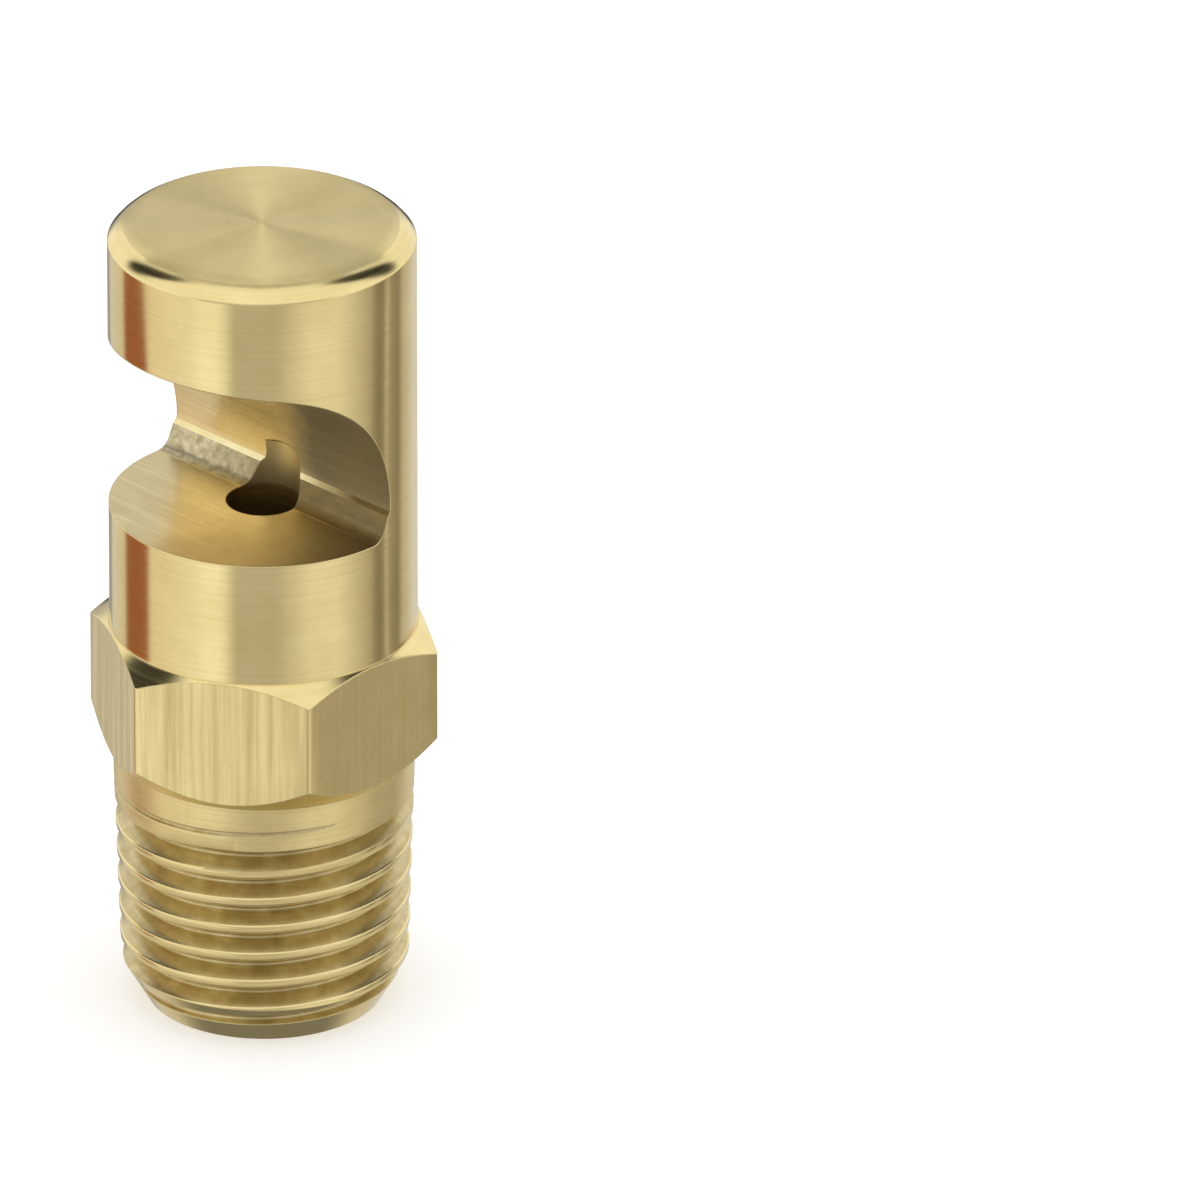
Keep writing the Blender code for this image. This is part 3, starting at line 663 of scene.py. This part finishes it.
# Studio: a white table, and cards round the nozzle that only its bright metal shows
studio = {
    "floorRadius": 2.0, "floorTone": "#F2F2F2", "floorRough": 0.9, "floorLift": 0.3,
    "table": [(-180, "#D0CCC6"), (180, "#D0CCC6")],
    "low": [        # degrees to the camera's right, colour: what shows in the upright faces
        (-180, "#CFCFCF"), (-172, "#CFCFCF"), (-169, "#A0A0A0"), (-158, "#A0A0A0"), (-153, "#D8D8D8"),
        (-128, "#D8D3CC"), (-86, "#EAE2DC"),
        (-55, "#F3F3F3"), (-44, "#FFFFFF"), (-34, "#FFFFFF"), (-28, "#F0F0F0"), (-20, "#BFBDBD"),
        (10, "#C0BEBE"),
        (36, "#EBEBEB"), (58, "#EBEBEB"), (88, "#B5B1AE"), (95, "#8A847C"), (102, "#8C867E"),
        (106, "#CCC8C2"), (111, "#9C968E"), (121, "#8A847C"), (128, "#C2BEB8"), (150, "#DEDEDE"),
        (180, "#CFCFCF"),
    ],
    "horizon": [        # white walls to both sides, greyer in front and behind
        (-180, "#BEBEBE"), (-162, "#BEBEBE"), (-154, "#FFFFFF"), (-60, "#FFFFFF"), (-40, "#C8C8C8"),
        (40, "#C8C8C8"),
        (60, "#FFFFFF"), (160, "#FFFFFF"), (168, "#BEBEBE"), (180, "#BEBEBE"),
    ],
    "upper": [
        (-180, "#BABABA"), (-142, "#BABABA"), (-126, "#FFFFFF"), (126, "#FFFFFF"), (142, "#BABABA"),
        (180, "#BABABA"),
    ],
    "overhead": [
        (-180, "#C4C4C4"), (-125, "#C4C4C4"), (-95, "#FFFFFF"), (95, "#FFFFFF"), (125, "#C4C4C4"),
        (180, "#C4C4C4"),
    ],
    # height where one ring gives way to the next, as the sine of the angle up
    "edges": [(-0.64, -0.54), (-0.2, -0.05), (0.57, 0.67), (0.78, 0.86)],
    "cards": [        # degrees right and up, roll, half length and half width in degrees, colour
        (-115, 41, 75, 20, 10.5, "#303030"),        # two dark flags, which edge the head's chamfer
        (112, 43, 105, 23, 10.5, "#303030"),
        (180, 32, 90, 38, 2, "#FFFFFF"),        # two bright strips behind, which streak the top
        (-155, 38.5, 5, 18, 3.2, "#FFFFFF"),
        (180, -13, 0, 15, 11, "#404040"),        # the dark room behind, which edges the top at the back
        (-110, -26, 0, 13.5, 8, "#9A6148"),        # something red on the table's left
    ],
    "cardEdge": 0.25,
    "nadir": "#808080", "nadirEdge": (-0.75, -0.92),
}


def studioWorld(s):
    world = bpy.data.worlds.new("studio")
    bpy.context.scene.world = world
    world.use_nodes = True
    tree = world.node_tree
    tree.nodes.clear()
    look = addNode(tree, "ShaderNodeTexCoord").outputs["Generated"]
    faced = addNode(tree, "ShaderNodeMapping", {"Vector": look},
                    {"Rotation": (0, 0, math.radians(view["azimuth"]))})
    axes = addNode(tree, "ShaderNodeSeparateXYZ", {0: faced.outputs[0]})
    turn = addNode(tree, "ShaderNodeMath", {0: axes.outputs["Y"], 1: axes.outputs["X"]}, operation="ARCTAN2")
    along = addNode(tree, "ShaderNodeMapRange", {0: turn.outputs[0]}, {1: -math.pi, 2: math.pi})
    bands = []
    for ring in ("table", "low", "horizon", "upper", "overhead"):
        ramp = addNode(tree, "ShaderNodeValToRGB", {0: along.outputs[0]})
        stops = ramp.color_ramp.elements
        while len(stops) < len(s[ring]):
            stops.new(1)
        for stop, (degrees, colour) in zip(stops, s[ring]):
            stop.position = (degrees + 180) / 360
            stop.color = linear(colour)
        bands.append(ramp.outputs[0])
    colour = bands[0]
    for band, edges in zip(bands[1:], s["edges"]):
        share = addNode(tree, "ShaderNodeMapRange", {0: axes.outputs["Z"]}, {1: edges[0], 2: edges[1]},
                        interpolation_type="SMOOTHSTEP")
        colour = addNode(tree, "ShaderNodeMix", {0: share.outputs[0], 6: colour, 7: band},
                         data_type="RGBA").outputs[2]
    for aside, above, roll, halfLength, halfWidth, tone in s["cards"]:
        turnAside, rise, lean = math.radians(aside), math.radians(above), math.radians(roll)
        middle = (math.cos(turnAside) * math.cos(rise), math.sin(turnAside) * math.cos(rise), math.sin(rise))
        reach = (1, math.sin(math.radians(halfLength)), math.sin(math.radians(halfWidth)))
        laid = addNode(tree, "ShaderNodeMapping", {"Vector": faced.outputs[0]},
                       {"Location": middle, "Rotation": (lean, -rise, turnAside), "Scale": reach},
                       vector_type="TEXTURE")
        away = addNode(tree, "ShaderNodeVectorMath", {0: laid.outputs[0]}, operation="LENGTH")
        share = addNode(tree, "ShaderNodeMapRange", {0: away.outputs["Value"]},
                        {1: 1 + s["cardEdge"], 2: 1 - s["cardEdge"]}, interpolation_type="SMOOTHSTEP")
        colour = addNode(tree, "ShaderNodeMix", {0: share.outputs[0], 6: colour}, {7: linear(tone)},
                         data_type="RGBA").outputs[2]
    below = addNode(tree, "ShaderNodeMapRange", {0: axes.outputs["Z"]},
                    {1: s["nadirEdge"][0], 2: s["nadirEdge"][1]}, interpolation_type="SMOOTHSTEP")
    colour = addNode(tree, "ShaderNodeMix", {0: below.outputs[0], 6: colour}, {7: linear(s["nadir"])},
                     data_type="RGBA").outputs[2]
    path = addNode(tree, "ShaderNodeLightPath")
    plain = addNode(tree, "ShaderNodeMath",
                    {0: path.outputs["Is Camera Ray"], 1: path.outputs["Is Diffuse Ray"]},
                    operation="MAXIMUM")
    seen = addNode(tree, "ShaderNodeMix", {0: plain.outputs[0], 6: colour}, {7: (1, 1, 1, 1)},
                   data_type="RGBA")
    light = addNode(tree, "ShaderNodeBackground", {0: seen.outputs[2]}, {1: 1})
    addNode(tree, "ShaderNodeOutputWorld", {0: light.outputs[0]})


def studioFloor(s):
    bm = bmesh.new()
    bmesh.ops.create_circle(bm, cap_ends=True, segments=64, radius=s["floorRadius"])
    mesh = bpy.data.meshes.new("floor")
    bm.to_mesh(mesh)
    bm.free()
    floor = bpy.data.objects.new("floor", mesh)
    bpy.context.scene.collection.objects.link(floor)
    material = bpy.data.materials.new("white_table")
    material.use_nodes = True
    tree = material.node_tree
    shader = tree.nodes["Principled BSDF"]
    shader.inputs["Base Color"].default_value = linear(s["floorTone"])
    shader.inputs["Roughness"].default_value = s["floorRough"]
    shader.inputs["Emission Color"].default_value = (1, 1, 1, 1)
    shader.inputs["Specular IOR Level"].default_value = 0
    path = addNode(tree, "ShaderNodeLightPath")
    lift = addNode(tree, "ShaderNodeMath", {0: path.outputs["Is Camera Ray"]}, {1: s["floorLift"]},
                   operation="MULTIPLY")
    tree.links.new(lift.outputs[0], shader.inputs["Emission Strength"])
    mesh.materials.append(material)
    floor.visible_glossy = False        # the metal shows the cards below the table's edge, not the table


studioWorld(studio)
studioFloor(studio)
bpy.context.scene.view_settings.view_transform = "Standard"
print("studio")
